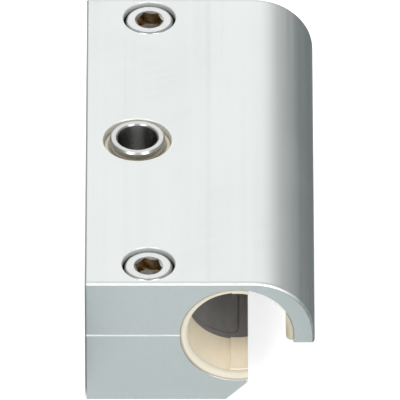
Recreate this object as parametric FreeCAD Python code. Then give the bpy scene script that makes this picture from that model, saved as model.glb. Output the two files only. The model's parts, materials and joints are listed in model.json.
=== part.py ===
import FreeCAD, Part
import math
import os

# Hybrid roller bearing for a 20 mm rail shaft: a split block with sliding liners at both ends and
# one roller in the middle. The origin is on the shaft axis at mid length. +X points to the hooked
# lip, +Y runs along the shaft and +Z points up to the mounting face. All sizes are in millimetres.

V = FreeCAD.Vector

# Shaft and running surfaces
SHAFT_RADIUS = 10.0
RUNNING_GAP = 0.05
PAD_RADIUS = SHAFT_RADIUS + RUNNING_GAP

# Housing block
LENGTH = 97.5
LEFT = -31.3
RIGHT = 16.0
TOP = 13.4
BOTTOM = -17.0
BORE_RADIUS = 11.6
SHOULDER_RADIUS = 12.85
LIP_BOTTOM = -1.85
SLOT_X = 2.3
FOOT_CHAMFER = 4.5
CROWN_ROUND = 0.6
SIDE_CHAMFER = 0.35
PARTING_CHAMFER = 0.25
MOUTH_CHAMFER = 0.25
RIM_CHAMFER = 0.15
FRONT = -LENGTH / 2
TOLERANCE = 1e-6

# Bush on the roller axis
AXLE_X = -20.6
BUSH_RADIUS = 5.75
BUSH_BORE_RADIUS = 4.2
BUSH_PROUD = 0.75
BUSH_BOTTOM = -8.3
BUSH_EDGE = 0.35
BUSH_MOUTH = 0.3
BUSH_HOLE_RADIUS = 7.1
SLEEVE_RECESS = 1.5
SLEEVE_FOOT = -8.0

# Ball bearing in the roller
BEARING_HALF_HEIGHT = 3.0
BALL_RADIUS = 1.1
BALL_COUNT = 10
PITCH_RADIUS = 7.35
RACE_CLEARANCE = 0.08
INNER_RING_RADIUS = 6.75
OUTER_RING_BORE = 7.95
OUTER_RING_RADIUS = 9.05
RING_CHAMFER = 0.25
CAGE_INNER_RADIUS = 7.0
CAGE_OUTER_RADIUS = 7.7
CAGE_BOTTOM = -1.9
CAGE_TOP = 0.55

# Roller tyre and the pocket that it turns in
TYRE_WAIST_RADIUS = -AXLE_X - PAD_RADIUS
TYRE_GROOVE_RADIUS = 40.0
TYRE_CHAMFER = 0.3
POCKET_RADIUS = 11.1
POCKET_HALF_HEIGHT = 4.0
WINDOW_HALF_WIDTH = 5.0

# Liners, lip pads and the sleeve between them
LINER_LENGTH = 12.2
MOUTH_RADIUS = 10.2
MOUTH_ROUND = 1.25
MOUTH_LENGTH = 1.6
RELIEF_RADIUS = 10.4
RELIEF_LIFT = 0.8
TOP_PAD_X = -1.0
BOTTOM_PAD_X = -1.3
LIP_PAD_BOTTOM = -1.2
LIP_PAD_TOP = 5.5
SLEEVE_RADIUS = 10.7
GROOVE_DEPTH = 0.3
GROOVE_WIDTH = 0.3
PANEL_EDGE_X = 0.46
PANEL_END_GAP = 2.2
PANEL_CORNER = 1.8

# Clamp screws, M6 socket head
SCREW_X = -18.2
SCREW_Y = 42.0
HEAD_RADIUS = 5.0
HEAD_HEIGHT = 6.0
HEAD_EDGE = 0.8
HEAD_SUNK = 0.45
HEX_FLATS = 5.0
HEX_DEPTH = 3.0
SOCKET_MOUTH_RADIUS = 3.05
SOCKET_CONE = 30.0
SCREW_LENGTH = 20.0
THREAD_RADIUS = 3.0
THREAD_GAP = 0.03
TIP_CHAMFER = 0.6
CLEARANCE_RADIUS = 3.3
COUNTERBORE_RADIUS = 5.5
TAP_MARGIN = 1.3
FRONT_HEX_TURN = -14.0
REAR_HEX_TURN = -7.0


def wire_face(edges):
    return Part.Face(Part.Wire(Part.__sortEdges__(edges)))


def line(start, end):
    return Part.LineSegment(start, end).toShape()


def arc(start, middle, end):
    return Part.Arc(start, middle, end).toShape()


def chain(points):
    return [line(a, b) for a, b in zip(points, points[1:])]


def front_point(x, z):
    return V(x, FRONT, z)


def on_circle(radius, x_centre, z_centre, degrees):
    angle = math.radians(degrees)
    return front_point(x_centre + radius * math.cos(angle), z_centre + radius * math.sin(angle))


def along_shaft(edges):
    return wire_face(edges).extrude(V(0, LENGTH, 0))


def shaft_cylinder(radius, start, length):
    return Part.makeCylinder(radius, length, V(0, start, 0), V(0, 1, 0))


def axle_cylinder(radius, z_low, z_high):
    return Part.makeCylinder(radius, z_high - z_low, V(AXLE_X, 0, z_low))


def box(low, high):
    size = high - low
    return Part.makeBox(size.x, size.y, size.z, low)


def turned(points, on_axle=False):
    """Solid of revolution of (radius, height) points about the vertical axis."""
    corners = [V(radius, 0, height) for radius, height in points]
    solid = wire_face(chain(corners + corners[:1])).revolve(V(0, 0, 0), V(0, 0, 1), 360)
    if on_axle:
        solid.translate(V(AXLE_X, 0, 0))
    return solid


def ring_of_balls():
    step = 360.0 / BALL_COUNT
    angles = [math.radians(step * i) for i in range(BALL_COUNT)]
    return [V(AXLE_X + PITCH_RADIUS * math.cos(a), PITCH_RADIUS * math.sin(a), 0) for a in angles]


def is_end_edge(edge):
    bounds = edge.BoundBox
    return bounds.YLength < TOLERANCE and abs(abs(bounds.YMin) - LENGTH / 2) < TOLERANCE


def edge_kind(edge):
    """Name the part of the end face that an edge borders."""
    middle = edge.valueAt((edge.FirstParameter + edge.LastParameter) / 2)
    if abs(middle.z - LIP_BOTTOM) < TOLERANCE:
        return "lip"
    if abs(math.hypot(middle.x, middle.z) - BORE_RADIUS) < TOLERANCE:
        return "bore"
    if abs(middle.z) < PARTING_CHAMFER and middle.x < 0:
        return "parting"
    if middle.x > LEFT + SIDE_CHAMFER and middle.z > LIP_BOTTOM + SIDE_CHAMFER:
        return "crown"
    return "side"


def end_edges(solid, kind):
    return [edge for edge in solid.Edges if is_end_edge(edge) and edge_kind(edge) == kind]


def break_ends(solid):
    """Round the end edges over the top and shoulder, and chamfer the others but the lip's."""
    crown = end_edges(solid, "crown")
    if crown:
        solid = solid.makeFillet(CROWN_ROUND, crown)
    sizes = {"side": SIDE_CHAMFER, "parting": PARTING_CHAMFER, "bore": MOUTH_CHAMFER}
    for kind, size in sizes.items():
        solid = solid.makeChamfer(size, end_edges(solid, kind))
    return solid


def roller_room():
    """Pocket for the roller, and the window where it reaches the left wall."""
    pocket = axle_cylinder(POCKET_RADIUS, -POCKET_HALF_HEIGHT, POCKET_HALF_HEIGHT)
    low = V(LEFT - 1, -WINDOW_HALF_WIDTH, -POCKET_HALF_HEIGHT)
    high = V(AXLE_X, WINDOW_HALF_WIDTH, POCKET_HALF_HEIGHT)
    return pocket.fuse(box(low, high))


def broken_hole(x, y, radius, z_low):
    """Hole from the top face down to z_low, with a broken edge."""
    hole = Part.makeCylinder(radius, TOP + 1 - z_low, V(x, y, z_low))
    rim = Part.makeCone(radius, radius + 2 * RIM_CHAMFER, 2 * RIM_CHAMFER, V(x, y, TOP - RIM_CHAMFER))
    return hole.fuse(rim)


def upper_housing():
    shoulder_x = RIGHT - SHOULDER_RADIUS
    shoulder_z = TOP - SHOULDER_RADIUS
    lip_x = math.sqrt(BORE_RADIUS ** 2 - LIP_BOTTOM ** 2)
    left_side = [
        front_point(-BORE_RADIUS, 0),
        front_point(LEFT + PARTING_CHAMFER, 0),
        front_point(LEFT, PARTING_CHAMFER),
        front_point(LEFT, TOP - SIDE_CHAMFER),
        front_point(LEFT + SIDE_CHAMFER, TOP),
        front_point(shoulder_x, TOP),
    ]
    right_side = [
        front_point(RIGHT, shoulder_z),
        front_point(RIGHT, LIP_BOTTOM + SIDE_CHAMFER),
        front_point(RIGHT - SIDE_CHAMFER, LIP_BOTTOM),
        front_point(lip_x, LIP_BOTTOM),
    ]
    shoulder = arc(left_side[-1], on_circle(SHOULDER_RADIUS, shoulder_x, shoulder_z, 45), right_side[0])
    bore = arc(right_side[-1], front_point(0, BORE_RADIUS), left_side[0])
    body = break_ends(along_shaft(chain(left_side) + [shoulder] + chain(right_side) + [bore]))
    cuts = [roller_room(), broken_hole(AXLE_X, 0, BUSH_HOLE_RADIUS, 0)]
    for y in (-SCREW_Y, SCREW_Y):
        cuts.append(broken_hole(SCREW_X, y, COUNTERBORE_RADIUS, TOP - HEAD_SUNK - HEAD_HEIGHT))
        cuts.append(Part.makeCylinder(CLEARANCE_RADIUS, TOP + 1, V(SCREW_X, y, -1)))
    return body.cut(cuts)


def lower_housing():
    slot_bottom = BOTTOM + FOOT_CHAMFER
    bore_z = -math.sqrt(BORE_RADIUS ** 2 - SLOT_X ** 2)
    outline = [
        front_point(SLOT_X, bore_z),
        front_point(SLOT_X, slot_bottom),
        front_point(SLOT_X - FOOT_CHAMFER, BOTTOM),
        front_point(LEFT + SIDE_CHAMFER, BOTTOM),
        front_point(LEFT, BOTTOM + SIDE_CHAMFER),
        front_point(LEFT, -PARTING_CHAMFER),
        front_point(LEFT + PARTING_CHAMFER, 0),
        front_point(-BORE_RADIUS, 0),
    ]
    bore = arc(outline[-1], on_circle(BORE_RADIUS, 0, 0, 225), outline[0])
    body = break_ends(along_shaft(chain(outline) + [bore]))
    tap_bottom = TOP - HEAD_SUNK - HEAD_HEIGHT - SCREW_LENGTH - TAP_MARGIN
    cuts = [roller_room(), axle_cylinder(BUSH_HOLE_RADIUS, BOTTOM - 1, 0)]
    for y in (-SCREW_Y, SCREW_Y):
        cuts.append(Part.makeCylinder(THREAD_RADIUS, 1 - tap_bottom, V(SCREW_X, y, tap_bottom)))
    return body.cut(cuts)


def liner_mouth():
    """Room in front of the pads: a full round, a short land and a lead-in."""
    outer = MOUTH_RADIUS + MOUTH_ROUND
    land = FRONT + MOUTH_ROUND
    lead = FRONT + MOUTH_LENGTH
    bend = MOUTH_ROUND * math.sqrt(0.5)
    corners = [
        V(MOUTH_RADIUS, land, 0),
        V(MOUTH_RADIUS, lead, 0),
        V(PAD_RADIUS, lead + MOUTH_RADIUS - PAD_RADIUS, 0),
        V(0, lead + MOUTH_RADIUS - PAD_RADIUS, 0),
        V(0, FRONT, 0),
        V(outer, FRONT, 0),
    ]
    round_edge = arc(corners[-1], V(outer - bend, land - bend, 0), corners[0])
    return wire_face(chain(corners) + [round_edge]).revolve(V(0, 0, 0), V(0, 1, 0), 360)


def liner_relief():
    """Room beside the pads: concentric below, and lifted above so that it opens at the mouth."""
    end = FRONT + LINER_LENGTH
    lower = shaft_cylinder(RELIEF_RADIUS, FRONT + MOUTH_LENGTH, LINER_LENGTH - MOUTH_LENGTH)
    upper = shaft_cylinder(MOUTH_RADIUS, FRONT, LINER_LENGTH)
    upper.translate(V(0, 0, RELIEF_LIFT))
    below = box(V(-BORE_RADIUS, FRONT, -BORE_RADIUS), V(BOTTOM_PAD_X, end, 0))
    above = box(V(-BORE_RADIUS, FRONT, 0), V(TOP_PAD_X, end, BORE_RADIUS))
    return lower.common(below).fuse(upper.common(above))


def front_liner():
    end = FRONT + LINER_LENGTH
    tube = shaft_cylinder(BORE_RADIUS, FRONT, LINER_LENGTH)
    bore = shaft_cylinder(PAD_RADIUS, FRONT, LINER_LENGTH)
    open_side = box(V(SLOT_X, FRONT - 1, -BORE_RADIUS), V(BORE_RADIUS, end + 1, BORE_RADIUS))
    return tube.cut([bore, liner_mouth(), liner_relief(), open_side])


def front_lip_pad():
    segment = shaft_cylinder(BORE_RADIUS, FRONT, LINER_LENGTH)
    keep = box(V(PAD_RADIUS, FRONT, LIP_PAD_BOTTOM), V(BORE_RADIUS, FRONT + LINER_LENGTH, LIP_PAD_TOP))
    return segment.common(keep).cut(liner_mouth())


def far_end(piece):
    """The same piece at the other end of the bore."""
    return piece.mirror(V(0, 0, 0), V(0, 1, 0))


def sleeve_panel(inset):
    """Upright block with two rounded corners, whose outline is the groove in the sleeve."""
    half = LENGTH / 2 - LINER_LENGTH - PANEL_END_GAP - inset
    panel = box(V(-BORE_RADIUS, -half, -BORE_RADIUS), V(PANEL_EDGE_X - inset, half, BORE_RADIUS))
    corners = [e for e in panel.Edges if e.BoundBox.ZLength > BORE_RADIUS and e.BoundBox.XMin > -1]
    return panel.makeFillet(PANEL_CORNER - inset, corners)


def centre_sleeve():
    start = FRONT + LINER_LENGTH
    length = LENGTH - 2 * LINER_LENGTH
    shell = shaft_cylinder(BORE_RADIUS, start, length).cut(shaft_cylinder(SLEEVE_RADIUS, start, length))
    open_side = box(V(SLOT_X, start - 1, -BORE_RADIUS), V(BORE_RADIUS, start + length + 1, BORE_RADIUS))
    outline = sleeve_panel(0).cut(sleeve_panel(GROOVE_WIDTH))
    groove = outline.common(shaft_cylinder(SLEEVE_RADIUS + GROOVE_DEPTH, start, length))
    return shell.cut([open_side, groove, roller_room()])


def axle_bush():
    top = TOP + BUSH_PROUD
    return turned([
        (BUSH_BORE_RADIUS, BUSH_BOTTOM + BUSH_MOUTH),
        (BUSH_BORE_RADIUS + BUSH_MOUTH, BUSH_BOTTOM),
        (BUSH_RADIUS - BUSH_MOUTH, BUSH_BOTTOM),
        (BUSH_RADIUS, BUSH_BOTTOM + BUSH_MOUTH),
        (BUSH_RADIUS, top - BUSH_EDGE),
        (BUSH_RADIUS - BUSH_EDGE, top),
        (BUSH_BORE_RADIUS + BUSH_MOUTH, top),
        (BUSH_BORE_RADIUS, top - BUSH_MOUTH),
    ], on_axle=True)


def bush_sleeve(z_low, z_high):
    return axle_cylinder(BUSH_HOLE_RADIUS, z_low, z_high).cut(axle_cylinder(BUSH_RADIUS, z_low, z_high))


def race_groove():
    return Part.makeTorus(PITCH_RADIUS, BALL_RADIUS + RACE_CLEARANCE, V(AXLE_X, 0, 0))


def bearing_ring(inner, outer):
    """Ring with chamfered corners and a groove for the balls."""
    low = -BEARING_HALF_HEIGHT
    high = BEARING_HALF_HEIGHT
    blank = turned([
        (inner + RING_CHAMFER, low),
        (outer - RING_CHAMFER, low),
        (outer, low + RING_CHAMFER),
        (outer, high - RING_CHAMFER),
        (outer - RING_CHAMFER, high),
        (inner + RING_CHAMFER, high),
        (inner, high - RING_CHAMFER),
        (inner, low + RING_CHAMFER),
    ], on_axle=True)
    return blank.cut(race_groove())


def ball(centre):
    return Part.makeSphere(BALL_RADIUS, centre)


def bearing_cage():
    """Crown cage: the ball pockets are open at the top, so that the balls snap in."""
    crown = axle_cylinder(CAGE_OUTER_RADIUS, CAGE_BOTTOM, CAGE_TOP)
    crown = crown.cut(axle_cylinder(CAGE_INNER_RADIUS, CAGE_BOTTOM, CAGE_TOP))
    return crown.cut([Part.makeSphere(BALL_RADIUS + RACE_CLEARANCE, centre) for centre in ring_of_balls()])


def roller_tyre():
    """Tyre with a shallow running groove round its rim."""
    half = BEARING_HALF_HEIGHT
    edge = half - TYRE_CHAMFER
    sag = TYRE_GROOVE_RADIUS - math.sqrt(TYRE_GROOVE_RADIUS ** 2 - edge ** 2)
    rim = TYRE_WAIST_RADIUS + sag
    corners = [
        V(rim, 0, edge),
        V(rim - TYRE_CHAMFER, 0, half),
        V(OUTER_RING_RADIUS, 0, half),
        V(OUTER_RING_RADIUS, 0, -half),
        V(rim - TYRE_CHAMFER, 0, -half),
        V(rim, 0, -edge),
    ]
    groove = arc(corners[-1], V(TYRE_WAIST_RADIUS, 0, 0), corners[0])
    tyre = wire_face(chain(corners) + [groove]).revolve(V(0, 0, 0), V(0, 0, 1), 360)
    tyre.translate(V(AXLE_X, 0, 0))
    return tyre


def hexagon(across_flats, z, turn):
    radius = across_flats / math.sqrt(3)
    angles = [math.radians(turn + 60 * i) for i in range(7)]
    return [V(radius * math.cos(a), radius * math.sin(a), z) for a in angles]


def hex_socket(top, turn):
    """Hexagon socket with a coned mouth and the cone of a drill at its floor."""
    inner = HEX_FLATS / 2
    slope = math.tan(math.radians(SOCKET_CONE))
    mouth_depth = (SOCKET_MOUTH_RADIUS - inner) * slope
    floor = top - HEX_DEPTH
    prism = Part.Face(Part.makePolygon(hexagon(HEX_FLATS, floor, turn))).extrude(V(0, 0, HEX_DEPTH + 1))
    mouth = Part.makeCone(inner, SOCKET_MOUTH_RADIUS, mouth_depth, V(0, 0, top - mouth_depth))
    tip = Part.makeCone(0, inner, inner * slope, V(0, 0, floor - inner * slope))
    return prism.fuse([mouth, tip])


def clamp_screw(y, hex_turn):
    top = TOP - HEAD_SUNK
    seat = top - HEAD_HEIGHT
    tip = seat - SCREW_LENGTH
    shank = THREAD_RADIUS - THREAD_GAP
    screw = turned([
        (0, tip),
        (shank - TIP_CHAMFER, tip),
        (shank, tip + TIP_CHAMFER),
        (shank, seat),
        (HEAD_RADIUS, seat),
        (HEAD_RADIUS, top),
        (0, top),
    ])
    rim = [edge for edge in screw.Edges if edge.BoundBox.ZMin > top - TOLERANCE]
    screw = screw.makeFillet(HEAD_EDGE, rim)
    screw = screw.cut(hex_socket(top, hex_turn))
    screw.translate(V(SCREW_X, y, 0))
    return screw


def build():
    liner = front_liner()
    lip_pad = front_lip_pad()
    pieces = {
        "upper_housing": upper_housing(),
        "lower_housing": lower_housing(),
        "front_liner": liner,
        "rear_liner": far_end(liner),
        "front_lip_pad": lip_pad,
        "rear_lip_pad": far_end(lip_pad),
        "centre_sleeve": centre_sleeve(),
        "axle_bush": axle_bush(),
        "upper_bush_sleeve": bush_sleeve(BEARING_HALF_HEIGHT, TOP - SLEEVE_RECESS),
        "lower_bush_sleeve": bush_sleeve(SLEEVE_FOOT, -BEARING_HALF_HEIGHT),
        "bearing_inner_ring": bearing_ring(BUSH_RADIUS, INNER_RING_RADIUS),
        "bearing_outer_ring": bearing_ring(OUTER_RING_BORE, OUTER_RING_RADIUS),
        "bearing_cage": bearing_cage(),
        "roller_tyre": roller_tyre(),
        "front_clamp_screw": clamp_screw(-SCREW_Y, FRONT_HEX_TURN),
        "rear_clamp_screw": clamp_screw(SCREW_Y, REAR_HEX_TURN),
    }
    for number, centre in enumerate(ring_of_balls(), start=1):
        pieces[f"bearing_ball_{number:02d}"] = ball(centre)
    return pieces


os.makedirs("parts", exist_ok=True)
for name, shape in build().items():
    shape.exportStep(f"parts/{name}.step")
    print(name, len(shape.Solids), shape.isValid(), round(shape.Volume, 2))
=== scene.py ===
"""Looks of the hybrid roller bearing: materials, studio and camera around the CAD frame."""

import json
import math

import bpy
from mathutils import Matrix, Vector

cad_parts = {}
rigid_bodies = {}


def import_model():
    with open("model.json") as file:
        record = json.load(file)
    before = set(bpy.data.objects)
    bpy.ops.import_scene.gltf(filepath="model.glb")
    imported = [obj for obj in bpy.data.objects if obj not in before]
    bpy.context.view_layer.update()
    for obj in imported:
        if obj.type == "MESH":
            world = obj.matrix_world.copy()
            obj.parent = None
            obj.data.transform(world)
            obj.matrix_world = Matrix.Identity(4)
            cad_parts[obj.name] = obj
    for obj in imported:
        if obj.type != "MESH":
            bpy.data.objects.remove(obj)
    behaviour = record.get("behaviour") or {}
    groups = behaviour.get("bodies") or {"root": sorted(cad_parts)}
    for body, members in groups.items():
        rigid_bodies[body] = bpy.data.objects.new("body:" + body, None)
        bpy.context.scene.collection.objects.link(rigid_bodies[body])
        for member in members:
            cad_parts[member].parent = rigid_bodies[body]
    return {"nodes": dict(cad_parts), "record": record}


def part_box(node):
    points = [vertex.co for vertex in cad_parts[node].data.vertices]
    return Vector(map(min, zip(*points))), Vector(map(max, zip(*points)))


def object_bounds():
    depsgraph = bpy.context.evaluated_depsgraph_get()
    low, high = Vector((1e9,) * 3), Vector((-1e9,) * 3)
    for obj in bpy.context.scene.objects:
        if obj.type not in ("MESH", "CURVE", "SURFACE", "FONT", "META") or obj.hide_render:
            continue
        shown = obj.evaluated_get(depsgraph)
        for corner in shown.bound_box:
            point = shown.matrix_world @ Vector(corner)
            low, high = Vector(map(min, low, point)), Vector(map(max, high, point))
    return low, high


# Empty scene, then the frame

for leftover in list(bpy.data.objects):
    bpy.data.objects.remove(leftover)

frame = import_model()
cad_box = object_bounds()


# Sizes read from the frame, in metres

MM = 0.001
record = frame["record"]
bolt_bore = next(mount for mount in record["mounts"] if mount["name"] == "mounting_bolt_bore")
screw_low, screw_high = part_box("rear_clamp_screw")

AXLE_X = bolt_bore["pos_m"][0]
BUSH_BORE_RADIUS = bolt_bore["dims"]["r_mm"] * MM
BUSH_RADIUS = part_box("axle_bush")[1].x - AXLE_X
SLEEVE_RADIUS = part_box("upper_bush_sleeve")[1].x - AXLE_X
LINER_RADIUS = -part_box("front_liner")[0].x
LIP_PAD_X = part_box("front_lip_pad")[0].x
SCREW_X = (screw_low.x + screw_high.x) / 2
SCREW_Y = abs(screw_low.y + screw_high.y) / 2
HEAD_TOP = screw_high.z
LEFT_X = cad_box[0].x
RIGHT_X = cad_box[1].x
END_Y = cad_box[1].y
FLOOR_Z = cad_box[0].z


# Sizes and places of the finishes and of the painted light and shade, in metres

MARGIN = 0.05 * MM
DIE_LINE_X = -5.9 * MM
DIE_LINE_REACH = 0.9 * MM
HOLE_EDGE = 0.3 * MM
COUNTERBORE_RADIUS = 5.5 * MM
SAWN_FACE = 0.03 * MM
BROKEN_EDGE = 0.5 * MM
EDGE_LINE = 0.95 * MM
EDGE_FADE = (9.0 * MM, 12.8 * MM)
GAP_SHADE_FADE = (HEAD_TOP - 1.2 * MM, HEAD_TOP - 0.6 * MM)
END_SHADE_REACH = 1.45 * MM
RIM_LINE = 0.32 * MM
RIM_FADE = (-3.0 * MM, 4.0 * MM)
SLEEVE_SHADE_RIM = 0.35 * MM
SLEEVE_SHADE_FOOT = 0.45 * MM
SOCKET_RADIUS = 3.0 * MM
SOCKET_DEPTH = 2.96 * MM
COUNTERSINK_DEPTH = 0.34 * MM


# Node helpers

NOISE_RANGE = (0.3, 0.7)
MASK_RANGE = (0.0, 1.0)
SINE_RANGE = (-1.0, 1.0)

# Places of the colour sockets on a Mix node, with its factor first
COLOUR_MIX_INPUTS = (0, 6, 7)
COLOUR_MIX_OUTPUT = 2


def new_material(name):
    """A material with a Principled shader, as (material, node tree, shader)."""
    material = bpy.data.materials.new(name)
    material.use_nodes = True
    tree = material.node_tree
    return material, tree, tree.nodes["Principled BSDF"]


def add_node(tree, kind, **settings):
    """A new node with its properties set."""
    made = tree.nodes.new(kind)
    for key, value in settings.items():
        setattr(made, key, value)
    return made


def calc(tree, operation, first, second=0.0, third=0.0):
    """A math node on sockets or plain numbers."""
    made = add_node(tree, "ShaderNodeMath", operation=operation)
    for socket, value in zip(made.inputs, (first, second, third)):
        if isinstance(value, (int, float)):
            socket.default_value = value
        else:
            tree.links.new(value, socket)
    return made.outputs[0]


def above(tree, value, limit):
    """1 where the value is over the limit, and 0 elsewhere."""
    return calc(tree, "GREATER_THAN", value, limit)


def below(tree, value, limit):
    """1 where the value is under the limit, and 0 elsewhere."""
    return calc(tree, "LESS_THAN", value, limit)


def both(tree, first, second):
    """The product of two masks, which is 1 where both are."""
    return calc(tree, "MULTIPLY", first, second)


def mixture(tree, first, second, share):
    """A weighted mean of two values, with the given share of the first."""
    rest = calc(tree, "MULTIPLY", second, 1.0 - share)
    return calc(tree, "MULTIPLY_ADD", first, share, rest)


def rescale(tree, value, old_range, new_range):
    """The value's old range mapped on to a new one, and held at its ends."""
    made = add_node(tree, "ShaderNodeMapRange")
    sockets = ("From Min", "From Max", "To Min", "To Max")
    for key, number in zip(sockets, (*old_range, *new_range)):
        made.inputs[key].default_value = number
    tree.links.new(value, made.inputs["Value"])
    return made.outputs["Result"]


def coordinates(tree):
    """The X, Y and Z sockets of a point on the object."""
    split = add_node(tree, "ShaderNodeSeparateXYZ")
    tree.links.new(add_node(tree, "ShaderNodeTexCoord").outputs["Object"], split.inputs[0])
    return split.outputs


def hypotenuse(tree, first, second):
    """The straight length made by two lengths at right angles."""
    square = calc(tree, "MULTIPLY_ADD", first, first, calc(tree, "MULTIPLY", second, second))
    return calc(tree, "SQRT", square)


def axis_distance(tree, centre_x, centre_y=0.0):
    """Distance from the upright axes at centre_x and at plus and minus centre_y, whichever is nearer."""
    place = coordinates(tree)
    across = calc(tree, "SUBTRACT", place["X"], centre_x)
    along = calc(tree, "SUBTRACT", calc(tree, "ABSOLUTE", place["Y"]), centre_y)
    return hypotenuse(tree, across, along)


def shaft_distance(tree):
    """Distance from the axis of the shaft."""
    place = coordinates(tree)
    return hypotenuse(tree, place["X"], place["Z"])


def near_ends(tree, reach):
    """1 within the given reach of the block's two ends, and 0 between them."""
    return above(tree, calc(tree, "ABSOLUTE", coordinates(tree)["Y"]), END_Y - reach)


def noise(tree, cells, detail=2.0, roughness=0.5, shift=(0, 0, 0), turn=0.0):
    """Fractal noise from 0 to 1 with the given cells per metre, shifted and turned about the upright."""
    moved = add_node(tree, "ShaderNodeVectorMath", operation="ADD")
    moved.inputs[1].default_value = shift
    turned = add_node(tree, "ShaderNodeVectorRotate", rotation_type="Z_AXIS")
    turned.inputs["Angle"].default_value = turn
    counted = add_node(tree, "ShaderNodeVectorMath", operation="MULTIPLY")
    counted.inputs[1].default_value = cells
    made = add_node(tree, "ShaderNodeTexNoise")
    made.inputs["Scale"].default_value = 1.0
    made.inputs["Detail"].default_value = detail
    made.inputs["Roughness"].default_value = roughness
    tree.links.new(add_node(tree, "ShaderNodeTexCoord").outputs["Object"], moved.inputs[0])
    tree.links.new(moved.outputs[0], turned.inputs["Vector"])
    tree.links.new(turned.outputs[0], counted.inputs[0])
    tree.links.new(counted.outputs[0], made.inputs["Vector"])
    return made.outputs["Fac"]


def ramp(tree, factor, dark, light):
    """Colours from dark to light over the usual range of a noise."""
    made = add_node(tree, "ShaderNodeValToRGB")
    for stop, place, colour in zip(made.color_ramp.elements, NOISE_RANGE, (dark, light)):
        stop.position = place
        stop.color = (*colour, 1)
    tree.links.new(factor, made.inputs["Fac"])
    return made.outputs["Color"]


def blend(tree, factor, first, second):
    """The first colour where the factor is 0, the second where it is 1."""
    made = add_node(tree, "ShaderNodeMix", data_type="RGBA")
    for place, value in zip(COLOUR_MIX_INPUTS, (factor, first, second)):
        tree.links.new(value, made.inputs[place])
    return made.outputs[COLOUR_MIX_OUTPUT]


def bump(tree, shader, height, depth, strength):
    """Relief of the given depth on the shader's normal."""
    made = add_node(tree, "ShaderNodeBump")
    made.inputs["Strength"].default_value = strength
    made.inputs["Distance"].default_value = depth
    tree.links.new(height, made.inputs["Height"])
    tree.links.new(made.outputs["Normal"], shader.inputs["Normal"])


def rings(tree, path, pitch):
    """Waves from 0 to 1 along a path, one for each pitch."""
    wave = calc(tree, "SINE", calc(tree, "MULTIPLY", path, 2 * math.pi / pitch))
    return rescale(tree, wave, SINE_RANGE, MASK_RANGE)


def turned_rings(tree, radius, pitch):
    """Fine rings that turning leaves on the walls and faces of a round piece."""
    return rings(tree, calc(tree, "ADD", radius, coordinates(tree)["Z"]), pitch)


# Aluminium of the two housings

SCUFF_SLANT = math.radians(-24)
SCUFF_RANGE = (0.29, 0.40)
SCUFF_ROUGHNESS = 0.035
DIE_LINE_TONE = -0.16
STREAK_SHARE = 0.6
STREAK_RELIEF = 0.7
SATIN_ROUGHNESS = (0.36, 0.46)
SATIN_METAL = 0.8
BARE_METAL = 0.4


def handling_marks(tree):
    """Faint scuffs that run slantwise across the length, 1 where they are strongest."""
    fine = noise(tree, cells=(70, 1500, 70), detail=3.0, roughness=0.6, turn=SCUFF_SLANT)
    patches = noise(tree, cells=(55, 40, 55), detail=1.0, shift=(0.02, 0.01, 0))
    return rescale(tree, both(tree, fine, patches), SCUFF_RANGE, MASK_RANGE)


def die_line(tree):
    """A soft line along the whole length, 1 in its middle and 0 beside it."""
    aside = calc(tree, "ABSOLUTE", calc(tree, "SUBTRACT", coordinates(tree)["X"], DIE_LINE_X))
    return rescale(tree, aside, (0.0, DIE_LINE_REACH), (1.0, 0.0))


def drawn_surface(tree, streaks):
    """Satin colour of the drawn faces, with one faint die line."""
    clouds = noise(tree, cells=(60, 25, 60))
    plain = mixture(tree, streaks, clouds, STREAK_SHARE)
    tone = calc(tree, "MULTIPLY_ADD", die_line(tree), DIE_LINE_TONE, plain)
    return ramp(tree, tone, dark=(0.66, 0.677, 0.669), light=(0.73, 0.739, 0.731))


def with_sawn_ends_and_painted_light(tree, grain, colour):
    """The colour at both ends: a fine line of painted shade and a painted highlight on the broken edge,
    both fading lower down, and a sawn face with painted shade.
    """
    # Painted shade: a thin darker line just inside the broken edge
    line = ramp(tree, grain, dark=(0.58, 0.592, 0.588), light=(0.63, 0.642, 0.638))
    # Painted highlight: the broken edge made near white
    edge_highlight = ramp(tree, grain, dark=(0.90, 0.915, 0.91), light=(0.95, 0.965, 0.96))
    # Sawn end faces, darkened further with painted shade
    sawn_and_shaded = ramp(tree, grain, dark=(0.384, 0.426, 0.426), light=(0.406, 0.447, 0.447))
    # The painted line and highlight fade from the top down the shoulder
    high = rescale(tree, coordinates(tree)["Z"], EDGE_FADE, MASK_RANGE)
    colour = blend(tree, both(tree, near_ends(tree, EDGE_LINE), high), colour, line)
    colour = blend(tree, both(tree, near_ends(tree, BROKEN_EDGE), high), colour, edge_highlight)
    return blend(tree, near_ends(tree, SAWN_FACE), colour, sawn_and_shaded)


def counterbore_wall(tree, grain):
    """Bored colour, lightened at the mouth as painted light, and dark with painted shade in the gap
    beside the screw's head.
    """
    # Painted light: the mouth of the bore lighter than the drawn faces
    mouth = ramp(tree, grain, dark=(0.75, 0.755, 0.735), light=(0.81, 0.815, 0.795))
    # Painted shade in the gap beside the head, fading out towards the mouth
    gap = ramp(tree, grain, dark=(0.08, 0.081, 0.079), light=(0.12, 0.121, 0.119))
    return blend(tree, rescale(tree, coordinates(tree)["Z"], GAP_SHADE_FADE, MASK_RANGE), gap, mouth)


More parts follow.
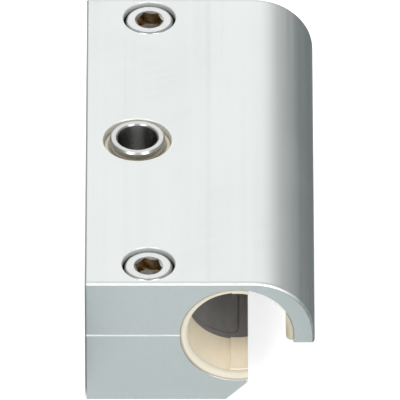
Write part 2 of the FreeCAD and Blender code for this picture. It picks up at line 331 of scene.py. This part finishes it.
def anodised_aluminium():
    """Drawn aluminium with a clear satin finish, sawn at the ends and bare in the bored holes, with
    painted light and shade at the ends and in the holes.
    """
    material, tree, shader = new_material("anodised_aluminium")
    streaks = noise(tree, cells=(1400, 9, 1400), detail=4.0, roughness=0.6)
    grain = noise(tree, cells=(5200, 5200, 5200))
    # Painted light: the bare bored wall of the bush hole made lighter than the drawn faces, to lift its
    # shade
    lit_bush_hole = ramp(tree, grain, dark=(0.83, 0.83, 0.79), light=(0.89, 0.89, 0.85))
    in_counterbore = below(tree, axis_distance(tree, SCREW_X, SCREW_Y), COUNTERBORE_RADIUS + HOLE_EDGE)
    in_bush_hole = below(tree, axis_distance(tree, AXLE_X), SLEEVE_RADIUS + HOLE_EDGE)
    colour = with_sawn_ends_and_painted_light(tree, grain, drawn_surface(tree, streaks))
    colour = blend(tree, in_counterbore, colour, counterbore_wall(tree, grain))
    tree.links.new(blend(tree, in_bush_hole, colour, lit_bush_hole), shader.inputs["Base Color"])
    bare = calc(tree, "MAXIMUM", in_bush_hole, in_counterbore)
    tree.links.new(rescale(tree, bare, MASK_RANGE, (SATIN_METAL, BARE_METAL)), shader.inputs["Metallic"])
    satin = rescale(tree, streaks, NOISE_RANGE, SATIN_ROUGHNESS)
    scuffed = calc(tree, "MULTIPLY_ADD", handling_marks(tree), SCUFF_ROUGHNESS, satin)
    tree.links.new(scuffed, shader.inputs["Roughness"])
    bump(tree, shader, mixture(tree, streaks, grain, STREAK_RELIEF), depth=0.012 * MM, strength=0.6)
    return material


# Polymers

RIM_STRENGTH = (1.0, 0.25)
TREAD_ROUGHNESS = (0.48, 0.62)


def moulded_polymer(name, dark, light, roughness, grain_depth):
    """Moulded polymer with soft mottling and a fine grain, as (material, tree, shader, colour, grain)."""
    material, tree, shader = new_material(name)
    mottle = noise(tree, cells=(420, 160, 420), detail=4.0, roughness=0.55)
    grain = noise(tree, cells=(3800, 3800, 3800))
    colour = ramp(tree, mottle, dark, light)
    tree.links.new(colour, shader.inputs["Base Color"])
    tree.links.new(rescale(tree, grain, NOISE_RANGE, roughness), shader.inputs["Roughness"])
    bump(tree, shader, grain, depth=grain_depth, strength=0.7)
    return material, tree, shader, colour, grain


def rim_shade_line(tree, at_ends):
    """Where the rims in the bore have their line of painted shade, which fades towards the top."""
    at_edge = above(tree, shaft_distance(tree), LINER_RADIUS - RIM_LINE)
    low = rescale(tree, coordinates(tree)["Z"], RIM_FADE, RIM_STRENGTH)
    return both(tree, both(tree, at_ends, at_edge), low)


def shaded_sleeve_places(tree):
    """Where shade is painted on the bush sleeves: at their outer rims and round the bush."""
    radius = axis_distance(tree, AXLE_X)
    on_sleeve = below(tree, radius, SLEEVE_RADIUS + MARGIN)
    at_rim = both(tree, above(tree, radius, SLEEVE_RADIUS - SLEEVE_SHADE_RIM), on_sleeve)
    at_bush = below(tree, radius, BUSH_RADIUS + SLEEVE_SHADE_FOOT)
    return calc(tree, "MAXIMUM", at_rim, at_bush)


def cream_polymer():
    """Cream bearing polymer, lifted as painted light in the bore, with painted shade at the ends, on the
    lip pads, in a line on the low rims and on the bush sleeves.
    """
    # Painted light: the cream of the body is lifted, so the shaded bore reads light
    material, tree, shader, lifted_cream, grain = moulded_polymer(
        "cream_polymer", dark=(0.93, 0.81, 0.615), light=(0.98, 0.875, 0.69),
        roughness=(0.40, 0.52), grain_depth=0.006 * MM)
    # Painted shade: a darker copy of the cream at both ends of every piece
    shaded_ends = ramp(tree, grain, dark=(0.745, 0.685, 0.565), light=(0.775, 0.715, 0.59))
    # Painted shade: the lip pads made darker than the rest of the cream
    lip_shade = ramp(tree, grain, dark=(0.53, 0.485, 0.375), light=(0.56, 0.515, 0.40))
    # Painted shade: a darker line round the rims in the bore
    line = ramp(tree, grain, dark=(0.475, 0.41, 0.315), light=(0.535, 0.47, 0.365))
    # Painted shade on the bush sleeves, at the hole's rim and round the bush
    sleeve_shade = ramp(tree, grain, dark=(0.36, 0.34, 0.27), light=(0.45, 0.42, 0.335))
    at_ends = near_ends(tree, END_SHADE_REACH)
    on_lip = above(tree, coordinates(tree)["X"], LIP_PAD_X - MARGIN)
    colour = blend(tree, at_ends, lifted_cream, shaded_ends)
    colour = blend(tree, on_lip, colour, lip_shade)
    colour = blend(tree, rim_shade_line(tree, at_ends), colour, line)
    colour = blend(tree, shaded_sleeve_places(tree), colour, sleeve_shade)
    tree.links.new(colour, shader.inputs["Base Color"])
    return material


def dark_polymer():
    """Dark grey polymer of the sleeve in the middle of the bore."""
    return moulded_polymer(
        "dark_polymer", dark=(0.238, 0.226, 0.224), light=(0.30, 0.286, 0.284),
        roughness=(0.42, 0.56), grain_depth=0.01 * MM)[0]


def tyre_polymer():
    """Hard dark tread with the fine grooves of turning."""
    material, tree, shader = new_material("tyre_polymer")
    grain = noise(tree, cells=(2600, 2600, 2600), detail=3.0)
    tread = ramp(tree, grain, dark=(0.030, 0.030, 0.033), light=(0.070, 0.070, 0.074))
    tree.links.new(tread, shader.inputs["Base Color"])
    tree.links.new(rescale(tree, grain, NOISE_RANGE, TREAD_ROUGHNESS), shader.inputs["Roughness"])
    grooves = turned_rings(tree, axis_distance(tree, AXLE_X), pitch=0.35 * MM)
    bump(tree, shader, grooves, depth=0.01 * MM, strength=0.8)
    return material


# Steels

SCREW_ROUGHNESS = (0.24, 0.34)


def turned_steel(name, dark, light, roughness, pitch, bore_shade=1.0, bore_cut=1.0):
    """Steel turned round the axle, with painted shade darkening the bore and a more deeply cut bore where
    one is asked for.
    """
    material, tree, shader = new_material(name)
    shader.inputs["Metallic"].default_value = 1.0
    smudge = noise(tree, cells=(500, 500, 500), detail=3.0)
    radius = axis_distance(tree, AXLE_X)
    in_bore = below(tree, radius, BUSH_BORE_RADIUS + MARGIN)
    outside = ramp(tree, smudge, dark, light)
    # Painted shade: the bore's colour darkened by bore_shade
    bore = ramp(tree, smudge, [bore_shade * part for part in dark], [bore_shade * part for part in light])
    tree.links.new(blend(tree, in_bore, outside, bore), shader.inputs["Base Color"])
    tree.links.new(rescale(tree, smudge, NOISE_RANGE, roughness), shader.inputs["Roughness"])
    cut = rescale(tree, in_bore, MASK_RANGE, (1.0, bore_cut))
    relief = calc(tree, "MULTIPLY", turned_rings(tree, radius, pitch), cut)
    bump(tree, shader, relief, depth=0.003 * MM, strength=0.5)
    return material


def polished_steel():
    """Polished bush with painted shade in its bore."""
    return turned_steel(
        "polished_steel", dark=(0.48, 0.475, 0.46), light=(0.55, 0.545, 0.53),
        roughness=(0.20, 0.28), pitch=0.12 * MM, bore_shade=0.65, bore_cut=14.0)


def bearing_steel():
    """Ground rings and balls."""
    return turned_steel(
        "bearing_steel", dark=(0.56, 0.56, 0.56), light=(0.66, 0.66, 0.66),
        roughness=(0.18, 0.28), pitch=0.10 * MM)


def screw_steel():
    """Bright machined screw, worn at the countersink and brown inside the hex socket."""
    material, tree, shader = new_material("screw_steel")
    shader.inputs["Metallic"].default_value = 1.0
    height = coordinates(tree)["Z"]
    radius = axis_distance(tree, SCREW_X, SCREW_Y)
    smudge = noise(tree, cells=(700, 700, 700), detail=3.0)
    bright = ramp(tree, smudge, dark=(0.54, 0.545, 0.54), light=(0.63, 0.635, 0.63))
    worn = ramp(tree, smudge, dark=(0.36, 0.35, 0.335), light=(0.45, 0.44, 0.42))
    brown = ramp(tree, smudge, dark=(0.31, 0.215, 0.115), light=(0.50, 0.355, 0.19))
    bottom = ramp(tree, smudge, dark=(0.24, 0.22, 0.19), light=(0.33, 0.30, 0.26))
    in_socket = both(tree, below(tree, radius, SOCKET_RADIUS), below(tree, height, HEAD_TOP - MARGIN))
    socket = blend(tree, above(tree, height, HEAD_TOP - SOCKET_DEPTH), bottom, brown)
    socket = blend(tree, above(tree, height, HEAD_TOP - COUNTERSINK_DEPTH), socket, worn)
    tree.links.new(blend(tree, in_socket, bright, socket), shader.inputs["Base Color"])
    tree.links.new(rescale(tree, smudge, NOISE_RANGE, SCREW_ROUGHNESS), shader.inputs["Roughness"])
    bump(tree, shader, rings(tree, radius, pitch=0.16 * MM), depth=0.004 * MM, strength=0.5)
    return material


# Each piece gets the material of its slot

MATERIALS = {
    "anodised_aluminium": anodised_aluminium(),
    "cream_polymer": cream_polymer(),
    "dark_polymer": dark_polymer(),
    "tyre_polymer": tyre_polymer(),
    "polished_steel": polished_steel(),
    "bearing_steel": bearing_steel(),
    "screw_steel": screw_steel(),
}
for subpart in record["subparts"]:
    mesh = frame["nodes"][subpart["node"]].data
    mesh.materials.clear()
    mesh.materials.append(MATERIALS[subpart["material_slot"]])


# Floor and cards of the studio

MATT_ROUGHNESS = 0.9
FLOOR_REACH = 12.0
FLOOR_TONE = (0.90, 0.90, 0.90)
FLOOR_GLOW = 0.50
CARD_LEAN = 15 * MM
CARD_FOOT_Z = FLOOR_Z + 0.1 * MM
CARD_TOP_Z = 16 * MM
RIGHT_CARD_GAP = 6 * MM
RIGHT_CARD_ENDS = (-120 * MM, 180 * MM)
RIGHT_CARD_TONE = (0.03, 0.07, 0.07)
LEFT_CARD_GAP = 2 * MM
LEFT_CARD_ENDS = (-75 * MM, 90 * MM)
LEFT_CARD_TONE = (0.12, 0.135, 0.135)


def matt_material(name, tone):
    """An even matt surface of the studio, as (material, node tree, shader)."""
    material, tree, shader = new_material(name)
    shader.inputs["Base Color"].default_value = (*tone, 1)
    shader.inputs["Roughness"].default_value = MATT_ROUGHNESS
    return material, tree, shader


def flat_sheet(name, corners, material):
    """A four-cornered sheet with one material, linked into the scene."""
    mesh = bpy.data.meshes.new(name)
    mesh.from_pydata(corners, [], [(0, 1, 2, 3)])
    mesh.materials.append(material)
    made = bpy.data.objects.new(name, mesh)
    bpy.context.scene.collection.objects.link(made)
    return made


def floor_white():
    """Pale matt floor that looks near white to the eye and in mirrors, and keeps the shadow."""
    material, tree, shader = matt_material("floor_white", FLOOR_TONE)
    shader.inputs["Specular IOR Level"].default_value = 0.0
    shader.inputs["Emission Color"].default_value = (1, 1, 1, 1)
    path = add_node(tree, "ShaderNodeLightPath")
    seen = calc(tree, "MAXIMUM", path.outputs["Is Camera Ray"], path.outputs["Is Glossy Ray"])
    seen = calc(tree, "MAXIMUM", seen, path.outputs["Is Transmission Ray"])
    tree.links.new(calc(tree, "MULTIPLY", seen, FLOOR_GLOW), shader.inputs["Emission Strength"])
    return material


def floor():
    """A wide floor at the foot of the block."""
    signs = ((-1, -1), (1, -1), (1, 1), (-1, 1))
    corners = [(across * FLOOR_REACH, along * FLOOR_REACH, FLOOR_Z) for across, along in signs]
    flat_sheet("floor", corners, floor_white())


def card(name, side_x, outwards, gap, ends, tone):
    """A matt card beside the block, which leans outwards and shows only in the metal's reflections."""
    foot_x = side_x + outwards * gap
    top_x = foot_x + outwards * CARD_LEAN
    front_y, back_y = ends
    corners = [(foot_x, front_y, CARD_FOOT_Z), (foot_x, back_y, CARD_FOOT_Z),
               (top_x, back_y, CARD_TOP_Z), (top_x, front_y, CARD_TOP_Z)]
    made = flat_sheet(name, corners, matt_material(name, tone)[0])
    made.visible_camera = False
    made.visible_diffuse = False
    made.visible_shadow = False


floor()
card("right_card", RIGHT_X, outwards=1, gap=RIGHT_CARD_GAP, ends=RIGHT_CARD_ENDS, tone=RIGHT_CARD_TONE)
card("left_card", LEFT_X, outwards=-1, gap=LEFT_CARD_GAP, ends=LEFT_CARD_ENDS, tone=LEFT_CARD_TONE)


# Light

LAMP_DISTANCE = 2.0
WORLD_COLOUR = (0.95, 1.0, 1.0, 1)
WORLD_STRENGTH = 0.42


def soft_light(name, direction, width, height, radiance):
    """A soft box that faces the object from the given direction, sized in metres."""
    lamp = bpy.data.lights.new(name, "AREA")
    lamp.shape = "RECTANGLE"
    lamp.size = width
    lamp.size_y = height
    lamp.energy = radiance * math.pi * width * height
    made = bpy.data.objects.new(name, lamp)
    away = Vector(direction).normalized()
    made.location = away * LAMP_DISTANCE
    made.rotation_mode = "QUATERNION"
    made.rotation_quaternion = away.to_track_quat("Z", "Y")
    made.visible_camera = False
    bpy.context.scene.collection.objects.link(made)


def studio_world():
    """Even light from all round."""
    world = bpy.data.worlds.new("studio")
    world.use_nodes = True
    sky = world.node_tree.nodes["Background"]
    sky.inputs["Color"].default_value = WORLD_COLOUR
    sky.inputs["Strength"].default_value = WORLD_STRENGTH
    bpy.context.scene.world = world


soft_light("back_box", direction=(-0.17, 0.76, 0.63), width=2.6, height=1.7, radiance=1.02)
soft_light("front_left", direction=(-0.40, -0.53, 0.76), width=0.5, height=1.2, radiance=5.0)
soft_light("front_right", direction=(0.40, -0.53, 0.76), width=0.5, height=1.2, radiance=5.0)
soft_light("front_low", direction=(0.12, -0.88, 0.40), width=2.6, height=1.6, radiance=0.92)
soft_light("side_right", direction=(0.97, -0.10, 0.20), width=1.0, height=0.5, radiance=2.3)
studio_world()
bpy.context.scene.view_settings.view_transform = "Standard"


# Camera, looking along the block and down at it from far off

ELEVATION = math.radians(37.6)
TARGET = Vector((-7.614, 0, -2.381)) * MM
FRAME_WIDTH = 83.19 * MM
SENSOR_WIDTH = 36.0
LENS = 1600.0
CLIP_NEAR = 0.1
CLIP_FAR = 20.0


def studio_camera():
    """A long lens, so far away that the view is nearly parallel."""
    data = bpy.data.cameras.new("camera")
    data.sensor_width = SENSOR_WIDTH
    data.lens = LENS
    data.clip_start = CLIP_NEAR
    data.clip_end = CLIP_FAR
    made = bpy.data.objects.new("camera", data)
    back = Vector((0, -math.cos(ELEVATION), math.sin(ELEVATION)))
    made.location = TARGET + back * (FRAME_WIDTH * LENS / SENSOR_WIDTH)
    made.rotation_mode = "QUATERNION"
    made.rotation_quaternion = (-back).to_track_quat("-Z", "Y")
    bpy.context.scene.collection.objects.link(made)
    bpy.context.scene.camera = made


studio_camera()
